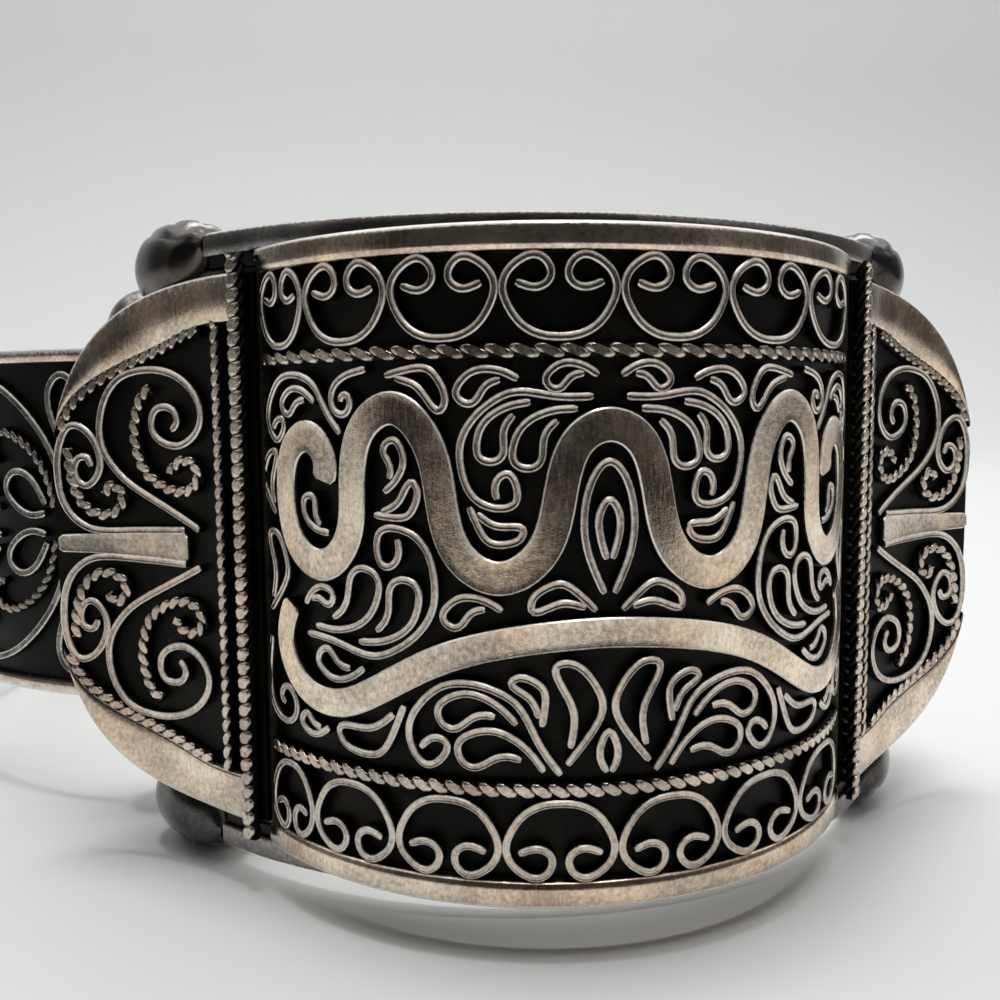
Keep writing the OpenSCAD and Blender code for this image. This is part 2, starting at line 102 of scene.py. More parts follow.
class Finish:
    """A material with one Principled shader, whose nodes are added by node()."""

    def __init__(self, name):
        self.material = bpy.data.materials.new(name)
        self.material.use_nodes = True
        self.tree = self.material.node_tree
        self.shader = next(n for n in self.tree.nodes if n.type == "BSDF_PRINCIPLED")

    def node(self, kind, settings=None, values=None, out=0):
        """Adds a node, makes its settings, fills its sockets with values or links, and returns one output."""
        made = self.tree.nodes.new(kind)
        for key, value in (settings or {}).items():
            setattr(made, key, value)
        for key, value in (values or {}).items():
            self.feed(made.inputs[key], value)
        return Field(self, made.outputs[out])

    def feed(self, socket, value):
        """Gives a socket a link, a colour or a number."""
        if isinstance(value, Field):
            self.tree.links.new(value.socket, socket)
        elif hasattr(value, "__len__") and len(value) == 3 and socket.type == "RGBA":
            socket.default_value = (*value, 1.0)
        else:
            socket.default_value = value

    def place(self, scale):
        """Object coordinates, stretched by scale."""
        spot = self.node("ShaderNodeTexCoord", out=3)
        return self.node("ShaderNodeMapping", {}, {"Vector": spot, "Scale": scale})

    def noise(self, size_mm, detail=3.0, rough=0.55, stretch=(1.0, 1.0, 1.0)):
        """Soft cloudy noise about 0.5, with features of about size_mm."""
        return self.node("ShaderNodeTexNoise", {}, {"Vector": self.place(stretch), "Scale": 1000.0 / size_mm,
                                                    "Detail": detail, "Roughness": rough})

    def step(self, value, low, high, to_low=0.0, to_high=1.0):
        """A smooth step from to_low to to_high while value goes from low to high."""
        ends = {"From Min": low, "From Max": high, "To Min": to_low, "To Max": to_high}
        return self.node("ShaderNodeMapRange", {"interpolation_type": "SMOOTHSTEP"}, {"Value": value, **ends})

    def mix(self, share, a, b):
        """The colour between a and b."""
        settings = {"data_type": "RGBA", "clamp_factor": True}
        return self.node("ShaderNodeMix", settings, {0: share, 6: a, 7: b}, out=2)

    def bump(self, height, depth_mm):
        """A normal tilted by a height field that is depth_mm deep where it is 1."""
        values = {"Height": height, "Distance": depth_mm * 0.001, "Strength": 1.0}
        return self.node("ShaderNodeBump", {}, values)

    def shade(self, **values):
        """Feeds the shader's own sockets, with spaces for underscores."""
        for key, value in values.items():
            self.feed(self.shader.inputs[key.replace("_", " ")], value)
        return self.material


PAPER_FRONT, PAPER_BEND, BEND_R, PAPER_TOP, PAPER_HALF = -0.9, 0.5, 0.35, 1.6, 1.6
turn = np.linspace(0, math.pi / 2, 13)
sweep_y = np.concatenate([[PAPER_FRONT], PAPER_BEND + BEND_R * np.sin(turn), [PAPER_BEND + BEND_R]])
sweep_z = np.concatenate([[0.0], BEND_R - BEND_R * np.cos(turn), [PAPER_TOP]])
across = np.linspace(-PAPER_HALF, PAPER_HALF, 9)
rows = np.stack([np.stack([across, 0 * across + y, 0 * across + z], -1) for y, z in zip(sweep_y, sweep_z)])
paper_points, paper_quads = sheet_of(rows)
paper = new_object("paper_sweep", paper_points, paper_quads[:, ::-1], 60)
paper_finish = Finish("pale_paper")
paper.data.materials.append(paper_finish.shade(Base_Color=(0.80, 0.81, 0.80), Roughness=0.75))


def soft_box(name, centre, aim, size, watts):
    """A rectangular area light at centre that shines towards aim, both in metres."""
    light = bpy.data.lights.new(name, "AREA")
    light.shape, light.size, light.size_y = "RECTANGLE", *size
    light.energy = watts
    lamp = bpy.data.objects.new(name, light)
    away = np.array(centre, float) - np.array(aim, float)
    lamp.location = centre
    lamp.rotation_mode = "QUATERNION"
    lamp.rotation_quaternion = Vector(away).to_track_quat("Z", "Y")
    bpy.context.scene.collection.objects.link(lamp)


soft_box("overhead_lamp", (-0.02, -0.01, 0.8), (0.0, -0.01, 0.0), (0.16, 0.16), 2.4)
soft_box("front_lamp", (0.04, -0.12, 0.30), (0.0, -0.03, 0.02), (0.14, 0.05), 0.11)
soft_box("ceiling_box", (0.24, 0.42, 0.85), (0.24, 0.42, 0.0), (2.0, 0.8), 5.2)

# A black card behind the camera, seen only in reflections, gives the silver its dark faces. The room is dark
# at the sides and bright above, and the camera sees it as pale as the paper.
CARD_LEFT, CARD_RIGHT, CARD_Y, CARD_TOP = -0.30, 0.12, -0.17, 0.31
card_corners = [(CARD_LEFT, 0.0), (CARD_RIGHT, 0.0), (CARD_RIGHT, CARD_TOP), (CARD_LEFT, CARD_TOP)]
card = new_object("dark_card", np.array([(x, CARD_Y, z) for x, z in card_corners]), np.array([[0, 1, 2, 3]]))
card_finish = Finish("black_card")
card.data.materials.append(card_finish.shade(Base_Color=(0.02, 0.02, 0.02), Roughness=0.9))
card.visible_camera = False
PALE_ROOM = (0.54, 0.55, 0.54, 1.0)
SKY_STOPS = ((0.0, 0.08), (0.45, 0.14), (0.95, 0.82))
world = bpy.data.worlds.new("room")
world.use_nodes = True
room = world.node_tree
sky_direction = room.nodes.new("ShaderNodeTexCoord")
sky_parts = room.nodes.new("ShaderNodeSeparateXYZ")
sky_ramp = room.nodes.new("ShaderNodeValToRGB")
room.links.new(sky_direction.outputs["Generated"], sky_parts.inputs[0])
room.links.new(sky_parts.outputs["Z"], sky_ramp.inputs[0])
seen = room.nodes.new("ShaderNodeLightPath")
pale = room.nodes.new("ShaderNodeMix")
pale.data_type = "RGBA"
pale.inputs[7].default_value = PALE_ROOM
room.links.new(seen.outputs["Is Camera Ray"], pale.inputs[0])
room.links.new(sky_ramp.outputs[0], pale.inputs[6])
room.links.new(pale.outputs[2], room.nodes["Background"].inputs["Color"])
room.nodes["Background"].inputs["Strength"].default_value = 1.0
sky_ramp.color_ramp.elements.new(SKY_STOPS[1][0])
for element, (position, shade) in zip(sky_ramp.color_ramp.elements, SKY_STOPS):
    element.position, element.color = position, (shade, shade * 1.01, shade * 1.02, 1.0)
bpy.context.scene.view_settings.view_transform = "Standard"
bpy.context.scene.world = world

# The camera looks slightly down. Its place, angles and lens were fitted to points of the photograph.
EYE = [-14.48, -93.37, 29.63]
heading, pitch, roll = math.radians(8.34), 0.0927, -0.0071
ahead = np.array([math.sin(heading) * math.cos(pitch), math.cos(heading) * math.cos(pitch), -math.sin(pitch)])
level = np.array([math.cos(heading), -math.sin(heading), 0.0])
rise = np.cross(level, ahead)
side = level * math.cos(roll) + rise * math.sin(roll)
up = rise * math.cos(roll) - level * math.sin(roll)
lens = bpy.data.cameras.new("photo_camera")
lens.sensor_width, lens.lens, lens.clip_start = 36.0, 36.0, 0.005
camera = bpy.data.objects.new("photo_camera", lens)
eye = place(EYE)
camera.matrix_world = Matrix([[side[i], up[i], -ahead[i], eye[i]] for i in range(3)] + [[0, 0, 0, 1]])
bpy.context.scene.collection.objects.link(camera)
bpy.context.scene.camera = camera


# The front cuff is a bent silver wall that carries everything else, with a brighter skin inside. A polished
# rim band is soldered along its top and foot and ends squared before the bulbs. The end knuckles of hinge and
# catch are soldered to its two sides.
CUFF_R, CUFF_RIM_R, CUFF_INNER, LINING_MM = 32.3, 32.75, 31.2, 0.3
WALL_TURN, RIM_TURN = 68.0, 47.8
PIN_CIRCLE, PIN_TURN, KNUCKLE_R = 31.5, math.radians(75), 3.4
RELIEF_MM = 0.014


def loops_to_shell(rings):
    """A closed shell through rings of the same even number of points: side quads, and strips as end caps."""
    n, m = rings.shape[:2]
    k = np.arange(n * m).reshape(n, m)
    nxt = np.roll(k, -1, axis=1)
    quads = np.stack([k[:-1], nxt[:-1], nxt[1:], k[1:]], -1).reshape(-1, 4)
    i = np.arange(m // 2 - 1)
    cap = np.stack([i, m - 1 - i, m - 2 - i, i + 1], -1)
    quads = np.concatenate([quads, k[0][cap], k[-1][cap[:, ::-1]]])
    points = rings.reshape(-1, 3)
    p, q, r, s = (points[quads[:, j]] for j in range(4))
    volume = np.einsum("ij,ij->i", p, np.cross(q, r)) + np.einsum("ij,ij->i", p, np.cross(r, s))
    return points, quads if volume.sum() > 0 else quads[:, ::-1]


class Parts:
    """Collects shells with a wear value at each point, and makes them one object."""

    def __init__(self):
        self.points, self.quads, self.wear, self.count = [], [], [], 0

    def add(self, rings, wear):
        """Takes in a shell through rings, with one wear value, or one a point of a ring, or one a point."""
        points, quads = loops_to_shell(np.asarray(rings, float))
        self.points.append(points)
        self.quads.append(quads + self.count)
        self.wear.append(np.broadcast_to(wear, np.asarray(rings).shape[:2]).reshape(-1))
        self.count += len(points)

    def make(self, name, finish, body, smooth_below=38, slot="silver"):
        """Makes one object of the shells, which rides on body."""
        points = place(np.concatenate(self.points))
        thing = new_object(name, points, np.concatenate(self.quads), smooth_below)
        layer = thing.data.attributes.new("wear", "FLOAT", "POINT")
        layer.data.foreach_set("value", np.concatenate(self.wear).astype(np.float32))
        thing.data.materials.append(finish)
        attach(thing, body)
        return thing


def arc_sweep(section, start, end, centre=(0.0, 0.0)):
    """A section of (radius, height) points carried round an upright axis from start to end degrees. The turn
    goes from -Y to +X, in steps of 1.2 degrees."""
    section = np.asarray(section, float)
    count = max(8, int(abs(end - start) / 1.2))
    turn = np.radians(np.linspace(start, end, count + 1))[:, None]
    r, z = section[:, 0][None], section[:, 1][None]
    return np.stack([centre[0] + r * np.sin(turn), centre[1] - r * np.cos(turn), z + 0 * turn], -1)


def spindle(profile, at, count=48):
    """A profile of (height, radius) points turned round an upright axis at the point at."""
    a = np.arange(count) * 2 * math.pi / count
    profile = np.asarray(profile, float)
    round_part = np.stack([-np.sin(a), np.cos(a), 0 * a], -1)
    return np.array([*at, 0.0]) + profile[:, None, :1] * [0, 0, 1] + profile[:, None, 1:] * round_part[None]


def silver_finish(name, bright, dull, ground, gloss, wear_at, brush=(1.0, 1.0, 8.0), scratch=1.0):
    """Aged silver: bright at worn edges, where a near-white, less metallic colour is rubbed silver with a
    painted glint, mottled between bright and dull on rubbed faces, black oxide below.
    Faces count as rubbed where their wear is above wear_at, and have the roughness gloss there."""
    f = Finish(name)
    wear = f.node("ShaderNodeAttribute", {"attribute_name": "wear"}, {}, out=2)
    clouds, grain = f.noise(3.2, 3.0), f.noise(0.30, 4.0, 0.65)
    scratches, fine = f.noise(0.14, 2.0, 0.6, brush), f.noise(0.10, 2.0, 0.6)
    rubbed = f.step(wear + (clouds - 0.5) * 0.25 + (grain - 0.5) * 0.30, wear_at - 0.12, wear_at + 0.12)
    rosy = [dull[0] * 1.10, dull[1] * 0.96, dull[2] * 0.94]
    tone = f.mix(f.step(f.noise(7.0, 2.0), 0.42, 0.60), dull, rosy)
    warm = [bright[0], bright[1] * 0.89, bright[2] * 0.79]
    glow = f.mix(f.step(f.noise(8.0, 2.0), 0.46, 0.60), bright, warm)
    face = f.mix(f.step(clouds * 0.5 + grain * 0.5, 0.38, 0.64), tone, glow)
    face = f.mix(f.step(scratches, 0.52, 0.72), face, [c * 0.72 for c in bright])
    # Worn edges get a near-white, less metallic colour: partly rubbed silver, partly a painted glint that
    # keeps them bright under any light.
    edge = f.step(wear + (grain - 0.5) * 0.25, 0.84, 0.98)
    brown = [ground[0] * 2.2, ground[1] * 1.9, ground[2] * 1.5]
    dark = f.mix(f.step(f.noise(5.0, 2.0), 0.50, 0.68), ground, brown)
    colour = f.mix(rubbed, dark, f.mix(edge, face, (0.95, 0.91, 0.85)))
    rough = f.step(rubbed, 0.0, 1.0, 0.50, gloss) + (scratches - 0.5) * 0.22 * scratch + (clouds - 0.5) * 0.14
    relief = scratches * 0.5 * scratch + grain * 0.6 + fine * 0.3
    solid = f.step(rubbed, 0.0, 1.0, 0.85, 1.0) - edge * 0.65
    return f.shade(Base_Color=colour, Metallic=solid, Roughness=rough, Normal=f.bump(relief, RELIEF_MM))


def upside_down(section):
    """The same section at the foot: heights are mirrored about the middle."""
    return [(r, 2 * MIDDLE - z) for r, z in section]


dark_finish = silver_finish("dark_polished_silver", (0.40, 0.38, 0.36), (0.18, 0.17, 0.165),
                            (0.02, 0.02, 0.02), 0.20, 0.40, scratch=0.6)
top_rim = [(CUFF_INNER, 39.2), (CUFF_INNER, 41.25), (31.45, 41.5), (31.8, 41.6), (32.25, 41.58), (32.6, 41.4),
           (CUFF_RIM_R, 41.05), (CUFF_RIM_R, 40.1), (32.68, 39.95), (32.5, 39.9), (CUFF_R, 39.88),
           (CUFF_R, 39.2)]
cuff_rim_wear = np.array([0.3, 0.6, 0.95, 1.0, 1.0, 0.95, 0.66, 0.5, 0.45, 0.3, 0.1, 0.0])
wall = [(CUFF_INNER + LINING_MM, 1.1), (CUFF_INNER + LINING_MM, 38.9), (31.4, 39.1), (32.1, 39.1),
        (CUFF_R, 38.9), (CUFF_R, 1.1), (32.1, 0.9), (31.4, 0.9)]
cuff = Parts()
cuff.add(arc_sweep(wall, -WALL_TURN, WALL_TURN), 0.35)
cuff.add(arc_sweep(top_rim, -RIM_TURN, RIM_TURN), cuff_rim_wear)
cuff.add(arc_sweep(upside_down(top_rim), -RIM_TURN, RIM_TURN), cuff_rim_wear)
HINGE = PIN_CIRCLE * np.array([-math.sin(PIN_TURN), -math.cos(PIN_TURN)])
CATCH = HINGE * [-1, 1]
dome_turns = np.linspace(0.06, math.pi / 2, 12)
dome = [(KNUCKLE_R - KNUCKLE_R * math.cos(a), KNUCKLE_R * math.sin(a)) for a in dome_turns]
knuckle = np.array(dome + [(5.05, KNUCKLE_R), (5.2, 3.25)])
for at in (HINGE, CATCH):
    cuff.add(spindle(knuckle + [0.7, 0], at), 0.45)
    cuff.add(spindle(knuckle * [-1, 1] + [39.3, 0], at), 0.45)
for low, high in ((1.0, 5.7), (34.3, 39.0)):
    block = [(CUFF_INNER, low), (CUFF_INNER, high), (CUFF_R - 0.05, high), (CUFF_R - 0.05, low)]
    for start, end in ((-73.0, -67.5), (67.5, 73.0)):
        cuff.add(arc_sweep(block, start, end), 0.4)
front_cuff = cuff.make("front_cuff_metal", dark_finish, "front", slot="dark_silver")
skin_finish = silver_finish("skin_polished_silver", (0.37, 0.355, 0.34), (0.25, 0.24, 0.23),
                            (0.03, 0.029, 0.028), 0.24, 0.40, scratch=1.3)
lining = Parts()
skin = [(CUFF_INNER, 0.9), (CUFF_INNER, 39.1), (CUFF_INNER + 0.4, 39.1), (CUFF_INNER + 0.4, 0.9)]
lining.add(arc_sweep(skin, -WALL_TURN, WALL_TURN), 0.66)
lining.make("front_cuff_inside", skin_finish, "front", slot="dark_silver")
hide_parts("front_cuff")


# A bulb is soldered to each end of the two rim bands: sheet silver folded to a bud, oxidised dark, with
# creases that run from its tip. The two at the foot carry the bracelet, so they are a little flat underneath.
def spline(points, step):
    """A cubic spline through points, run by the square roots of their distances and cut to equal steps."""
    p = np.asarray(points, float)
    k = np.r_[0, np.cumsum(np.hypot(*np.diff(p, axis=0).T) ** 0.5)]
    n, h = len(p), np.diff(k)
    system = np.eye(n)
    inner = np.arange(1, n - 1)
    system[inner, inner - 1], system[inner, inner + 1] = h[:-1], h[1:]
    system[inner, inner] = 2 * (h[:-1] + h[1:])
    slopes = np.diff(p, axis=0) / h[:, None]
    bend = np.linalg.solve(system, np.concatenate([[[0, 0]], 6 * np.diff(slopes, axis=0), [[0, 0]]]))
    t = np.linspace(0, k[-1], 40 * n)
    i = np.clip(np.searchsorted(k, t, side="right") - 1, 0, n - 2)
    a, b, w = (k[i + 1] - t)[:, None], (t - k[i])[:, None], h[i][:, None]
    q = (bend[i] * a ** 3 + bend[i + 1] * b ** 3) / (6 * w) + (p[i] / w - bend[i] * w / 6) * a
    q = q + (p[i + 1] / w - bend[i + 1] * w / 6) * b
    run = np.r_[0, np.cumsum(np.hypot(*np.diff(q, axis=0).T))]
    u = np.linspace(0, run[-1], max(3, int(run[-1] / step) + 1))
    return np.stack([np.interp(u, run, q[:, 0]), np.interp(u, run, q[:, 1])], -1)


BULB_SIDES = 56
BULB_BACK, BULB_FRONT = (30.6, 60), (31.95, 47.9)
BULB_START_Z, BULB_Z, BULB_FLAT_Z = 40.75, 39.68, 43.28
BULB_CREASES = ((0.55, 0.045), (1.05, 0.07), (1.6, 0.06), (2.2, 0.035))
BULB = np.array([(0.0, 0.85), (0.35, 0.95), (0.75, 1.35), (1.2, 2.05), (1.8, 2.65), (2.7, 3.1), (3.9, 3.42),
                 (5.3, 3.58), (6.7, 3.6), (8.0, 3.28), (9.1, 2.5), (9.9, 1.45), (10.3, 0.4)])


def bulb_rings(mirror_x, top):
    """Rings along the line from the band's end to the bulb's back: a spline gives the radius, and the creases
    are troughs in it whose depth fades towards both ends. The centre line sinks from the band's height."""
    spots = spline(BULB, 0.16)
    share = spots[:, :1] / BULB[-1, 0]
    back, front = (r * np.array([math.sin(math.radians(at)), -math.cos(math.radians(at))])
                   for r, at in (BULB_BACK, BULB_FRONT))
    along = (back - front) / np.linalg.norm(back - front)
    outward = np.array([-along[1], along[0]])
    outward = outward if outward @ front > 0 else -outward
    a = np.arange(BULB_SIDES) * 2 * math.pi / BULB_SIDES
    radius = spots[:, 1:] * np.ones(BULB_SIDES)
    for middle, depth in BULB_CREASES:
        trough = np.exp(-((a - middle - 0.35 * share) / 0.085) ** 2)
        radius = radius * (1 - depth * trough * np.sin(math.pi * share ** 0.8) ** 0.6)
    sunk = np.where(share < 0.2, np.sin(share / 0.2 * math.pi / 2) ** 2, 1.0)
    centre = BULB_START_Z - (BULB_START_Z - BULB_Z) * sunk - 0.25 * np.clip(share - 0.6, 0, 1) ** 2
    z = np.minimum(centre + radius * np.sin(a), BULB_FLAT_Z)
    side_out = radius * np.cos(a)
    xy = front + spots[:, None, :1] * along + side_out[..., None] * outward
    points = np.concatenate([xy, z[..., None]], -1) * [-1 if mirror_x else 1, 1, 1 if top else -1]
    return points if top else points + [0, 0, 2 * MIDDLE]


bulb_finish = silver_finish("dark_bulb_silver", (0.11, 0.108, 0.105), (0.05, 0.049, 0.048),
                            (0.008, 0.008, 0.008), 0.20, 0.30, scratch=0.3)
for name, left, top in (("bead_top_left", True, True), ("bead_foot_left", True, False),
                        ("bead_top_right", False, True), ("bead_foot_right", False, False)):
    rings = bulb_rings(left, top)
    tip = np.exp(-((np.arange(len(rings)) / len(rings) - 0.24) / 0.10) ** 2)[:, None]
    crown = np.clip(np.sin(np.arange(BULB_SIDES) * 2 * math.pi / BULB_SIDES), 0, 1)[None] ** 3
    bead = Parts()
    bead.add(rings, 0.58 + 0.4 * tip * crown)
    piece = bead.make(name + "_bulb", bulb_finish, "front", 50, "dark_silver")
    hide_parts(name)


# The centre panel is a strongly bent plate soldered to the cuff: a black ground sheet with a plain rim band
# along its top and foot. Two twisted ropes part off a row of seven scrolls above and below the middle field.
PANEL_R, PANEL_SHEET, PANEL_HALF, PANEL_AXIS = 23.4, 22.5, 61.5, (0.0, -14.8)
SHEET_HALF, STRIP_TURN, STRIP_STARTS = 61.3, 1.1, (-61.45, 60.35)


def on_panel(s, z, d):
    """Length along the panel's rim face, height, and depth beyond the ground sheet, on the bent plate."""
    a = np.asarray(s) / PANEL_R
    r = PANEL_SHEET + d
    return np.stack(np.broadcast_arrays(PANEL_AXIS[0] + r * np.sin(a), PANEL_AXIS[1] - r * np.cos(a), z), -1)


ground_finish = silver_finish("oxidised_ground", (0.16, 0.145, 0.12), (0.06, 0.055, 0.047),
                              (0.008, 0.0075, 0.0065), 0.40, 0.46)
worn_finish = silver_finish("worn_rim_silver", (0.93, 0.80, 0.64), (0.42, 0.36, 0.29),
                            (0.010, 0.009, 0.008), 0.19, 0.42, (1, 1, 0.12))
sheet = Parts()
face = [(21.5, 0.3), (21.5, 39.7), (PANEL_SHEET, 39.7), (PANEL_SHEET, 0.3)]
sheet.add(arc_sweep(face, -SHEET_HALF, SHEET_HALF, PANEL_AXIS), 0.3)
side_strip = [(22.0, 1.5), (22.0, 38.5), (23.1, 38.5), (23.28, 38.4), (23.28, 1.6), (23.1, 1.5)]
strip_wear = np.array([0.3, 0.3, 0.45, 0.62, 0.62, 0.45])
for start in STRIP_STARTS:
    sheet.add(arc_sweep(side_strip, start, start + STRIP_TURN, PANEL_AXIS), strip_wear)
panel_ground = sheet.make("panel_ground", ground_finish, "front", slot="worn_silver")
foot_rim = [(21.5, 0.0), (22.95, 0.0), (23.2, 0.06), (23.34, 0.18), (23.4, 0.4), (23.4, 0.8),
            (23.37, 1.2), (23.30, 1.5), (23.18, 1.64), (22.95, 1.7), (22.4, 1.7), (21.5, 1.7)]
head_rim = foot_rim[:6] + [(23.39, 1.25), (23.34, 1.52), (23.21, 1.65)] + foot_rim[9:]
panel_rim_wear = np.array([0.5, 0.8, 0.95, 1.0, 0.78, 0.74, 0.74, 0.80, 0.86, 0.6, 0.1, 0.1])
rims = Parts()
rims.add(arc_sweep(foot_rim, -PANEL_HALF, PANEL_HALF, PANEL_AXIS), panel_rim_wear)
rims.add(arc_sweep(upside_down(head_rim), -PANEL_HALF, PANEL_HALF, PANEL_AXIS), panel_rim_wear)
rims.make("panel_rims", worn_finish, "front", slot="worn_silver")


WIRE_W, WIRE_H, WIRE_SINK = 0.47, 0.78, 0.12


def flat_wire(path, width, height, surface):
    """A flattened wire along a path on a bent plate: twelve points a station, which run up one side, round a
    narrow bevel, over the flat face and down again. The width may vary, and both ends are rounded off."""
    path = np.asarray(path, float)
    ahead = np.gradient(path, axis=0)
    ahead /= np.linalg.norm(ahead, axis=1)[:, None]
    across = np.stack([-ahead[:, 1], ahead[:, 0]], -1)
    run = np.r_[0, np.cumsum(np.linalg.norm(np.diff(path, axis=0), axis=1))]
    end = np.minimum(run, run[-1] - run)
    half = 0.5 * np.broadcast_to(width, len(path))
    half = half * (0.70 + 0.30 * np.sqrt(1 - (1 - np.clip(end / (0.5 * half), 0, 1)) ** 2))
    bevel = min(0.09, 0.18 * np.max(width))
    inward = np.array([0, 0, 0, bevel, bevel + 0.04])
    offsets = np.concatenate([inward - half[:, None], -0.42 * half[:, None]], 1)
    offsets = np.concatenate([offsets, -offsets[:, ::-1]], 1)
    depths = np.array([-WIRE_SINK, height - bevel - 0.16, height - bevel, height, height - 0.006,
                       height - 0.014])
    spots = path[:, None] + across[:, None] * offsets[..., None]
    return surface(spots[..., 0], spots[..., 1], np.r_[depths, depths[::-1]])


def and_mirrored(path):
    """A path, and its mirror image on the other side of the middle height."""
    return path, path * [1, -1] + [0, 2 * MIDDLE]


WIRE_WEAR = np.array([0.0, 0.14, 0.88, 1.0, 0.80, 0.54, 0.54, 0.80, 1.0, 0.88, 0.14, 0.0])
ROW_HALF = np.array([(0, 33.55), (0.31, 33.65), (0.65, 34.2), (0.89, 35.2), (1, 36.3), (0.91, 37.2),
                     (0.68, 37.85), (0.43, 38.1), (0.23, 37.75), (0.15, 37.1), (0.23, 36.55), (0.42, 36.3),
                     (0.6, 36.4), (0.76, 36.6)])
ROW_ENDS = [-24.9, -19.8, -13.2, -6.4, 0.6, 7.6, 15.1, 23.3]
scrolls = Parts()
for left, right in zip(ROW_ENDS, ROW_ENDS[1:]):
    half = ROW_HALF * [(right - left - WIRE_W) / 2, 1]
    path = np.concatenate([half[:0:-1] * [-1, 1], half]) + [(left + right) / 2, 0]
    for line in and_mirrored(path):
        scrolls.add(flat_wire(spline(line, 0.2), WIRE_W, WIRE_H, on_panel), WIRE_WEAR)
wire_finish = silver_finish("rubbed_wire_silver", (0.80, 0.70, 0.585), (0.34, 0.295, 0.25),
                            (0.008, 0.008, 0.008), 0.22, 0.42)
scrolls.make("panel_scroll_rows", wire_finish, "front", slot="worn_silver")


def twisted(path, surface, centre_height, strand_r, offset, pitch, worn=0.66, hand=1, sides=12):
    """Two strands wound round a path on a bent plate: each is a tube whose centre circles the path once a
    pitch. All that rises above the worn share of the rope's radius is rubbed off flat, which leaves a row of
    lens-shaped faces. The hand, 1 or -1, is the way the strands are wound."""
    run = np.r_[0, np.cumsum(np.linalg.norm(np.diff(path, axis=0), axis=1))]
    count = max(12, int(run[-1] / pitch * 20))
    u = np.linspace(0, run[-1], count)
    line = np.stack([np.interp(u, run, path[:, 0]), np.interp(u, run, path[:, 1])], -1)
    ahead = np.gradient(line, axis=0)
    ahead /= np.linalg.norm(ahead, axis=1)[:, None]
    across = np.stack([-ahead[:, 1], ahead[:, 0]], -1) * hand
    out = []
    ring = np.arange(sides) * 2 * math.pi / sides
    lean = 2 * math.pi * offset / pitch
    cap = worn * (offset + strand_r)
    for k in range(2):
        w = (2 * math.pi * (u / pitch + k / 2))[:, None]
        side_shift = offset * np.cos(w) + strand_r * np.cos(ring)[None]
        rise = offset * 1.25 * np.sin(w) + strand_r * np.sin(ring)[None]
        slip = lean * 0.9 * strand_r * np.cos(ring)[None] * np.sin(w)
        spots = line[:, None] + across[:, None] * side_shift[..., None] + ahead[:, None] * slip[..., None]
        edge = np.exp(-((rise - cap) / (0.16 * cap)) ** 2)
        wear = np.clip((rise + 0.2 * cap) / (1.2 * cap), 0.0, 1.0) ** 2 * 0.66 + 0.34 * edge
        out.append((surface(spots[..., 0], spots[..., 1], centre_height + np.minimum(rise, cap)), wear))
    return out


PANEL_ROPE = (0.44, 0.28, 0.19)
ropes = Parts()
for z, pitch in ((7.2, 2.1), (32.8, 2.9)):
    line = np.stack([np.linspace(-24.5, 24.5, 60), np.full(60, z)], -1)
    for rings, wear in twisted(line, on_panel, *PANEL_ROPE, pitch):
        ropes.add(rings, wear)
ropes.make("panel_ropes", wire_finish, "front", 60, "worn_silver")


# The middle field of the panel has two broad ribbons of plate soldered on, a waving garland and a long low
# arch, mirrored about the middle. They stand where the photograph has lettering, which isn't copied. Leaves,
# crooks and hooks of thin flattened wire fill the black ground between them.
FILIGREE_W, FILIGREE_H, RIBBON_H = 0.46, 0.74, 0.86
SHAPES = {
    "leaf": [(0, 0), (.28, .16), (.63, .21), (.88, .09), (1, -.115), (.86, -.28), (.70, -.255), (.56, -.09),
             (.42, 0), (.28, .02)],
    "full": [(0, 0), (.25, .17), (.54, .31), (.73, .27), (.93, .11), (1, -.04), (.965, -.17), (.85, -.155),
             (.63, -.02), (.44, .04), (.17, .02)],
    "crook": [(0, 0), (.18, .16), (.35, .345), (.50, .40), (.65, .405), (.83, .345), (.95, .2), (1.0, .05),
              (.96, -.09), (.83, -.18), (.74, -.10), (.73, -.01), (.80, .01), (.865, -.035), (.89, -.085)],
    "hook": [(0, 0), (.3, .09), (.6, .12), (.85, .04), (.98, -.14), (.97, -.36), (.80, -.48), (.62, -.40),
             (.58, -.24), (.70, -.16), (.78, -.24)],
}
RIBBONS = [
    (2.0, [(0, 28.6), (1.9, 27.6), (2.9, 24.6), (3.9, 21.4), (6.4, 19.8), (8.9, 21.2), (9.9, 24.4),
           (10.7, 27.6), (12.9, 29.6), (15.2, 28.2), (15.9, 24.8), (16.3, 21.8), (18.3, 20.0), (20.8, 21.0),
           (21.9, 23.8), (21.4, 26.9), (19.5, 27.9), (18.1, 26.6), (18.2, 25.2)]),
    (1.8, [(0, 16.6), (5, 16.2), (10, 14.9), (14.2, 12.7), (17.6, 11.4), (20.8, 12.2), (22.4, 14.8),
           (21.6, 17.2)]),
]
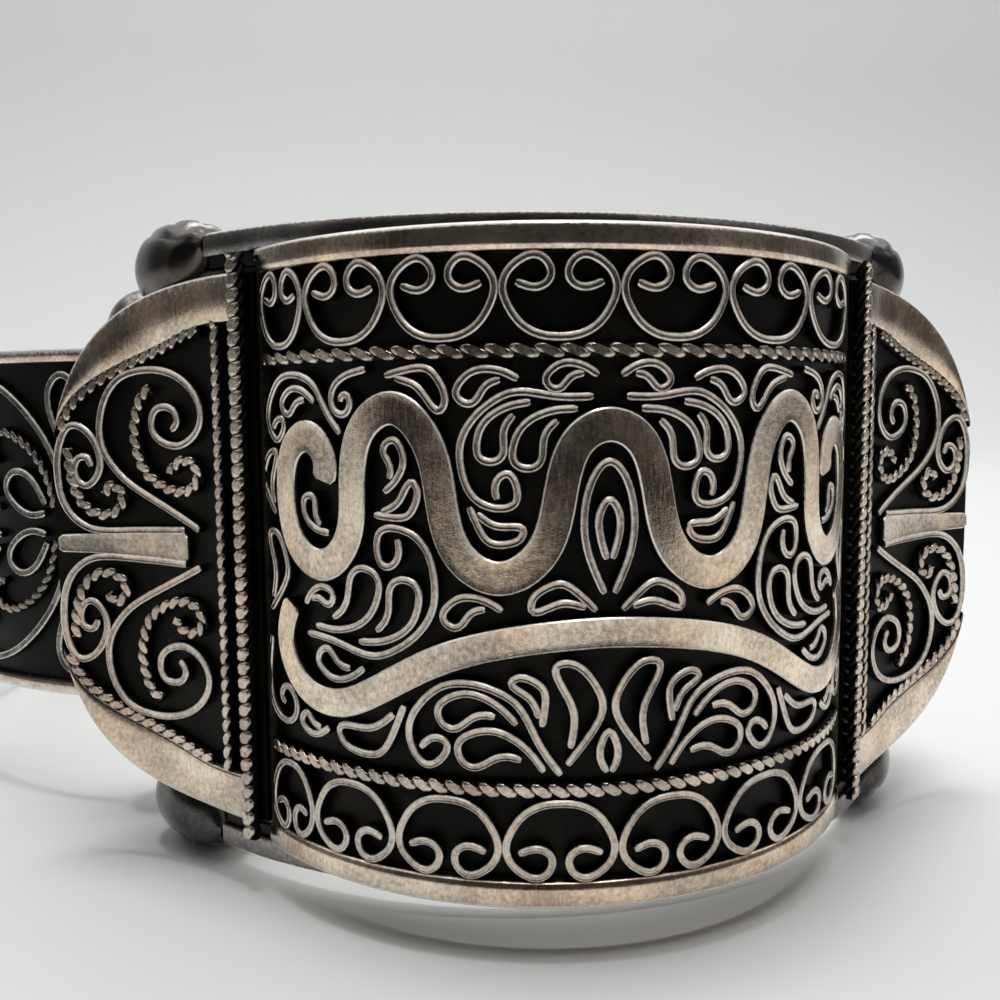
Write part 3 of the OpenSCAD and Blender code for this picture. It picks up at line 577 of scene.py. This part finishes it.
FILIGREE = [
    ("crook", 2.9, 8.2, 14, 9.6, 1),
    ("leaf", 5.5, 11.2, 14, 4.8, 1),
    ("leaf", 3.9, 8.4, 22, 5.3, 1),
    ("crook", 1.0, 30.2, 319, 9.0, 1),
    ("leaf", 4.6, 29.9, 319, 4.3, 1),
    ("leaf", 1.9, 29.5, 326, 4.7, 1),
    ("crook", 20.0, 15.5, 144, 10.8, 1),
    ("leaf", 15.6, 15.5, 144, 5.4, 1),
    ("leaf", 19.2, 16.1, 152, 6.0, 1),
    ("crook", 16.8, 28.1, 8, 7.4, 1),
    ("leaf", 19.0, 30.0, 5, 3.3, 1),
    ("full", 12.5, 11.9, 327, 5.4, -1),
    ("full", 2.5, 8.8, 94, 6.0, 1),
    ("hook", 24.4, 14.6, 266, 5.5, 1),
    ("full", 13.4, 31.5, 201, 4.1, -1),
    ("full", 24.3, 16.5, 101, 5.2, 1),
    ("full", 8.2, 23.9, 212, 3.5, 1),
    ("leaf", 15.3, 13.9, 355, 3.8, -1),
    ("full", 0.8, 17.9, 10, 3.8, 1),
    ("full", 14.3, 23.3, 152, 3.3, 1),
    ("leaf", 17.9, 22.0, 37, 3.0, -1),
    ("leaf", 20.2, 17.4, 156, 2.6, -1),
    ("hook", 14.8, 31.9, 333, 3.3, 1),
    ("full", 4.0, 11.1, 65, 3.2, 1),
    ("leaf", 13.6, 24.7, 110, 3.1, 1),
    ("leaf", 6.3, 17.9, 359, 3.6, 1),
    ("leaf", 18.3, 9.7, 354, 2.6, -1),
    ("full", 23.4, 22.9, 83, 4.0, -1),
    ("leaf", 5.3, 31.2, 354, 3.7, 1),
    ("leaf", 0.7, 31.4, 2, 3.0, 1),
]
DROPS = [
    [(0, 26.5), (0.95, 25.6), (1.5, 23.3), (1.25, 21.2), (0.3, 18.9)],
    [(0, 24.3), (0.55, 23.6), (0.62, 22.6), (0.4, 21.6), (0.16, 20.9)],
    [(0, 10.7), (0.42, 10.1), (0.55, 9.4), (0.42, 8.8), (0.13, 8.3)],
]


def charted(shape, s, z, lean, length, flip):
    """A shape of the chart scaled to its length, turned by its lean and set with its tail at (s, z)."""
    p = np.array(SHAPES[shape]) * [length, length * flip]
    c, n = math.cos(math.radians(lean)), math.sin(math.radians(lean))
    return spline(p @ np.array([[c, n], [-n, c]]) + [s, z], 0.22)


ribbons = Parts()
for width, points in RIBBONS:
    right = spline([(-s, z) for s, z in points[1:3][::-1]] + points, 0.3)
    right = right[np.argmax(right[:, 0] >= 0):]
    whole = np.concatenate([right[::-1] * [-1, 1], right[1:]])
    ribbons.add(flat_wire(whole, width, RIBBON_H, on_panel), WIRE_WEAR)
ribbons.make("panel_ribbons", worn_finish, "front", slot="worn_silver")
filigree = Parts()
for points in DROPS:
    both = spline([(-s, z) for s, z in points[:0:-1]] + points, 0.22)
    filigree.add(flat_wire(both, FILIGREE_W, FILIGREE_H, on_panel), WIRE_WEAR)
for row in FILIGREE:
    path = charted(*row)
    for mirror in (1, -1):
        filigree.add(flat_wire(path * [mirror, 1], FILIGREE_W, FILIGREE_H, on_panel), WIRE_WEAR)
filigree.make("panel_filigree", wire_finish, "front", slot="worn_silver")
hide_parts("centre_panel")


# Each wing is a plate soldered to the cuff beside the panel, which then flares outwards. A smooth rim band
# along its top and foot narrows to a point at the tip, with a twisted rope inside it. The scrolls are
# mirrored about a middle bar. A thick upright rope of its own covers the joint with the panel.
WING_L, WING_HALF, WING_POWER, PLATE_INSET, RIM_TIP_Z = 17.8, 18.5, 3.1, 0.05, 27.6
SEAT_R, WING_SHEET, FLARE_R = 33.7, 33.05, 23.0
WING_WIRE_W, WING_WIRE_H, BAR_H = 0.52, 0.62, 0.55
TWINE, SIDE_ROPE = (0.36, 0.265, 0.175, 1.9), (0.57, 0.35, 0.25, 1.9, 0.74)
panel_edge = math.radians(PANEL_HALF)
panel_edge_x, panel_edge_y = PANEL_R * math.sin(panel_edge), PANEL_R * math.cos(panel_edge) - PANEL_AXIS[1]
WING_START = math.degrees(math.atan2(panel_edge_x, panel_edge_y)) + 0.4
SEAT_L = SEAT_R * math.radians(45 - WING_START)
FLARE_C = (SEAT_R + FLARE_R) * math.sqrt(0.5)


def on_wing(s, z, d):
    """Length along the wing's rim face, height and depth: an arc about the wrist axis, then a hollow arc."""
    s, z, d = np.broadcast_arrays(np.asarray(s, float), z, d)
    a = np.radians(WING_START) + s / SEAT_R
    b = np.radians(135) - (s - SEAT_L) / FLARE_R
    r, q = WING_SHEET + d, SEAT_R + FLARE_R - WING_SHEET - d
    seat = s < SEAT_L
    x = np.where(seat, r * np.sin(a), FLARE_C + q * np.cos(b))
    y = np.where(seat, -r * np.cos(a), -FLARE_C + q * np.sin(b))
    return np.stack([x, y, z], -1)


def wing_outline(u, inset=0.0):
    """The upper half of the rounded outline drawn in by inset: along = u (L - inset), and height above the
    middle = (H - inset)(1 - u^n)^(1/n), for u from 0 to 1."""
    return u * (WING_L - inset), (WING_HALF - inset) * (1 - u ** WING_POWER) ** (1 / WING_POWER)


RIM_INNER = [(0.9, 35.3), (3.0, 35.3), (5.4, 35.1), (7.7, 34.4), (10.0, 33.6), (12.6, 32.6), (14.7, 31.5),
             (16.2, 30.2), (17.0, 28.9), (17.35, 27.7)]


def wing_rim():
    """Rings from the rope to the wing's tip: each a bevelled section between the outline and the rim's inner
    edge, both cut to the same number of equal steps, so that the band narrows to a point."""
    s, h = wing_outline(np.cos(np.linspace(0, math.pi / 2, 401)[1:]))
    outline = np.stack([s, MIDDLE + h], -1)[(h > RIM_TIP_Z - MIDDLE) & (s > 0.9)]
    outer = spline(outline[::-1][::8], 0.1)
    inner = spline(RIM_INNER, 0.1)
    share = np.linspace(0, 1, 70)[:, None]
    o, i = (np.stack([np.interp(share[:, 0], np.linspace(0, 1, len(c)), c[:, k]) for k in (0, 1)], -1)
            for c in (outer, inner))
    width = np.linalg.norm(o - i, axis=1)[:, None]
    bevel = np.minimum(0.12, width * 0.2)
    inset = np.concatenate([0 * width, 0 * width, bevel, 2.2 * bevel, width * 0.5, width - 2 * bevel,
                            width - 0.8 * bevel, width, width, np.minimum(0.6, width * 0.5)], 1)
    depth = np.array([-0.7, 0.43, 0.60, 0.66, 0.66, 0.64, 0.58, 0.42, -0.1, -0.7])
    return o[:, None] + (i - o)[:, None] / width[..., None] * inset[..., None], depth


RIM_WEAR = np.array([0.3, 0.9, 1.0, 0.88, 0.72, 0.74, 0.95, 0.5, 0.0, 0.2])
WING_WIRES = [
    (5.5, 21.3), (8.9, 22.9), (11.7, 24.4), (12.8, 25.4), (13.5, 26.4), (13.9, 27.6), (13.9, 28.8),
    (13.6, 30.0), (13.0, 31.1), (12.1, 31.9), (10.9, 32.3), (9.4, 32.4), (7.8, 32.1), (6.4, 31.4),
    (5.4, 30.4), (5.0, 29.3), (5.3, 28.3), (6.2, 27.5), (7.4, 27.1), (8.6, 27.3), (9.4, 27.9), (9.6, 28.8),
    (9.2, 29.6), (8.4, 29.8), (7.6, 29.5), (7.3, 28.8), (7.8, 28.2)]
WING_SMALL = [(6.9, 21.2), (9.3, 21.1), (11.8, 21.0), (14.0, 20.95), (15.2, 21.2), (16.1, 21.8), (16.7, 22.6),
              (17.1, 23.7), (17.25, 25.0), (17.2, 26.4), (16.8, 27.8), (16.2, 28.5), (15.4, 28.4),
              (14.6, 27.7), (14.1, 26.7), (14.0, 25.6), (14.5, 24.6), (15.2, 24.2), (15.8, 24.6),
              (16.0, 25.5), (15.6, 26.2), (15.0, 26.2), (14.7, 25.6)]
WING_TWISTS = [
    [(9.6, 31.1), (10.4, 30.5), (10.9, 29.3), (11.1, 28.0), (10.9, 26.6), (10.3, 25.3), (9.3, 24.5),
     (8.1, 24.0), (6.8, 23.9), (5.8, 24.4), (5.5, 25.3), (6.2, 26.0), (7.4, 25.9), (8.1, 25.2)],
    [(16.4, 26.9), (16.3, 25.3), (16.0, 24.0), (15.5, 23.0), (14.7, 22.3), (13.7, 22.1), (12.8, 22.4),
     (12.3, 23.1), (12.5, 23.9), (13.2, 24.2), (13.7, 23.6)],
    [(5.0, 34.9), (6.5, 34.6), (8.0, 34.0), (10.0, 33.3), (12.4, 32.4), (14.4, 31.3), (15.8, 30.2),
     (16.6, 29.0), (16.9, 28.2)],
]
for side_name, sign in (("left", -1), ("right", 1)):
    def on_side(s, z, d, sign=sign):
        return on_wing(s, z, d) * [sign, 1, 1]

    plate = Parts()
    s, h = wing_outline(np.sin(np.linspace(0, math.radians(88.5), 48)), PLATE_INSET)
    corners = [(-1, -0.66), (1, -0.66), (1, 0.0), (-1, 0.0)]
    plate.add(np.stack([on_side(s, MIDDLE + up_down * h, d) for up_down, d in corners], 1), 0.32)
    ground = plate.make(side_name + "_wing_ground", ground_finish, "front", slot="silver")
    band = Parts()
    crescent, depth = wing_rim()
    band.add(on_side(crescent[..., 0], crescent[..., 1], depth), RIM_WEAR)
    band.add(on_side(crescent[..., 0], 2 * MIDDLE - crescent[..., 1], depth), RIM_WEAR)
    band.make(side_name + "_wing_rim", worn_finish, "front", slot="silver")
    curls = Parts()
    bar = np.stack([np.linspace(6.7, 17.4, 40), np.full(40, MIDDLE)], -1)
    curls.add(flat_wire(bar, np.linspace(2.1, 1.25, 40), BAR_H, on_side), WIRE_WEAR)
    for points in (WING_WIRES, WING_SMALL):
        for path in and_mirrored(spline(points, 0.22)):
            curls.add(flat_wire(path, WING_WIRE_W, WING_WIRE_H, on_side), WIRE_WEAR)
    curls.make(side_name + "_wing_scrolls", wire_finish, "front", slot="silver")
    twine = Parts()
    for points in WING_TWISTS:
        for path in and_mirrored(spline(points, 0.2)):
            for rings, wear in twisted(path, on_side, *TWINE, hand=-sign):
                twine.add(rings, wear)
    line = np.stack([np.full(60, 3.3), np.linspace(4.6, 35.4, 60)], -1)
    for rings, wear in twisted(line, on_side, *TWINE, hand=sign):
        twine.add(rings, wear)
    twine.make(side_name + "_wing_twisted_wire", wire_finish, "front", 60, "silver")
    column = Parts()
    line = np.stack([np.full(60, 1.03), np.linspace(0.4, 39.6, 60)], -1)
    for rings, wear in twisted(line, on_side, *SIDE_ROPE, hand=sign):
        column.add(rings, wear)
    rope = column.make(side_name + "_side_rope", wire_finish, "front", 60, "worn_silver")
    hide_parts(side_name + "_wing")
    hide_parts(side_name + "_rope")


# The rear arm swings on the hinge pin and stands open. It is a bent silver band with thin bright rims, and
# its black ground carries soldered fields of twisted spirals and leaves, mirrored about the middle.
OPEN = math.radians(62)
REAR_R, REAR_INNER, REAR_LOW, REAR_HIGH = 32.4, 31.4, 5.9, 34.5
REAR_START, REAR_END = 93.3, 277.9
REAR_MIDDLE, FIELD_COUNT, FIELD_PITCH, FIELD_S = 20.2, 6, 16.74, 3.17
REAR_WIRE_W, REAR_WIRE_H, REAR_TWINE = 0.6, 0.58, (0.3, 0.24, 0.16, 2.0)


def swung(points):
    """Turns closed positions about the hinge to where the open arm stands."""
    p = np.asarray(points, float).copy()
    x, y = p[..., 0] - HINGE[0], p[..., 1] - HINGE[1]
    p[..., 0] = HINGE[0] + x * math.cos(OPEN) - y * math.sin(OPEN)
    p[..., 1] = HINGE[1] + x * math.sin(OPEN) + y * math.cos(OPEN)
    return p


def on_rear(s, z, d):
    """Length along the rear band from its middle, height and depth, on the opened arm."""
    a = np.asarray(s) / REAR_R
    r = REAR_R + d
    return swung(np.stack(np.broadcast_arrays(-r * np.sin(a), r * np.cos(a), z), -1))


band = Parts()
plate_section = [(31.9, REAR_LOW), (31.9, REAR_HIGH), (REAR_R, REAR_HIGH), (REAR_R, REAR_LOW)]
band.add(swung(arc_sweep(plate_section, REAR_START, REAR_END)), 0.3)
# The rear ground is coloured darker than the front ground: black oxide with painted shade, because the open
# arm stands in shadow.
rear_ground_finish = silver_finish("shade_darkened_oxide", (0.09, 0.083, 0.072), (0.034, 0.031, 0.027),
                                   (0.005, 0.0048, 0.0044), 0.45, 0.55)
rear_ground = band.make("rear_band_ground", rear_ground_finish, "rear_arm", slot="silver")
lining = Parts()
skin = [(REAR_INNER, REAR_LOW), (REAR_INNER, REAR_HIGH), (31.95, REAR_HIGH), (31.95, REAR_LOW)]
lining.add(swung(arc_sweep(skin, REAR_START, REAR_END)), 0.66)
lining.make("rear_band_inside", skin_finish, "rear_arm", slot="silver")
thin_rim = [(REAR_INNER, 34.6), (32.9, 34.6), (33.05, 34.52), (33.1, 34.38), (33.1, 33.75), (33.02, 33.58),
            (32.85, 33.5), (REAR_INNER, 33.5)]
thin_rim_wear = np.array([0.6, 0.9, 1.0, 0.95, 0.72, 0.8, 0.4, 0.1])
edges = Parts()
for section in (thin_rim, [(r, 2 * REAR_MIDDLE - z) for r, z in thin_rim]):
    edges.add(swung(arc_sweep(section, REAR_START, REAR_END)), thin_rim_wear)
edges.make("rear_band_rims", worn_finish, "rear_arm", slot="silver")
REAR_WIRES = [
    [(6.6, 0.9), (6.3, 3.6), (5.2, 6.4), (3.2, 8.9), (0.6, 10.9), (-2.2, 12.0), (-5.0, 12.0), (-6.9, 10.4),
     (-7.2, 8.1), (-5.8, 6.5), (-4.0, 6.9), (-3.4, 8.4), (-4.3, 9.5), (-5.3, 9.1)],
    [(4.5, 0.9), (2.8, 0.7), (0.9, 1.6), (0.0, 3.0), (0.9, 4.2), (2.7, 4.0), (3.9, 2.8), (4.6, 1.6)],
    [(7.8, 5.0), (6.4, 7.2), (5.5, 9.3), (5.5, 11.2), (6.6, 12.3), (7.7, 11.8), (8.0, 9.8), (7.9, 7.4)],
    [(-1.0, 1.2), (-3.2, 1.1), (-5.4, 1.7), (-6.7, 3.0), (-6.2, 4.5), (-4.6, 4.8), (-2.9, 3.7), (-1.3, 2.2)],
]
REAR_TWIST = [(5.5, 1.4), (5.0, 3.4), (3.7, 5.6), (1.6, 7.1), (-0.6, 7.6), (-2.0, 6.8), (-1.9, 5.5),
              (-0.8, 5.2)]
# The rear wires are coloured much darker than the front wires: painted shade, because the open arm stands in
# shadow.
shaded_finish = silver_finish("shade_darkened_wire_silver", (0.34, 0.31, 0.28), (0.12, 0.112, 0.104),
                              (0.006, 0.006, 0.006), 0.25, 0.50)
rear_lines, rear_twine = Parts(), Parts()
for i in range(FIELD_COUNT):
    centre = np.array([FIELD_S + (i - (FIELD_COUNT - 1) / 2) * FIELD_PITCH, REAR_MIDDLE])
    for up_down in (1, -1):
        for points in REAR_WIRES:
            path = spline(points, 0.3) * [1, up_down] + centre
            rear_lines.add(flat_wire(path, REAR_WIRE_W, REAR_WIRE_H, on_rear), WIRE_WEAR)
        path = spline(REAR_TWIST, 0.3) * [1, up_down] + centre
        for rings, wear in twisted(path, on_rear, *REAR_TWINE, sides=10):
            rear_twine.add(rings, wear)
rear_lines.make("rear_band_scrolls", shaded_finish, "rear_arm", slot="silver")
rear_twine.make("rear_band_twisted_wire", shaded_finish, "rear_arm", 60, "silver")
barrel = Parts()
long_knuckle = [(6.2, 3.2), (6.35, KNUCKLE_R), (33.65, KNUCKLE_R), (33.8, 3.2)]
barrel.add(swung(spindle(long_knuckle, HINGE)), 0.45)
neck = [(31.3, 6.4), (31.3, 33.6), (32.2, 33.6), (32.2, 6.4)]
barrel.add(swung(arc_sweep(neck, 277.5, 282.5)), 0.4)
barrel.make("rear_hinge_barrel", dark_finish, "rear_arm", slot="dark_silver")
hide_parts("rear_band")


# The two pins, the jaw that closes over the catch pin and the post at the arm's free end are plain turned or
# bent silver, mostly hidden. They are the CAD pieces themselves with a better finish.
for node in ("hinge_pin", "catch_pin", "catch_jaw", "end_post"):
    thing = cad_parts[node]
    plain = silver_finish(node + "_silver", (0.30, 0.285, 0.27), (0.21, 0.20, 0.19), (0.03, 0.029, 0.028),
                          0.24, -0.2)
    thing.data.materials.clear()
    thing.data.materials.append(plain)
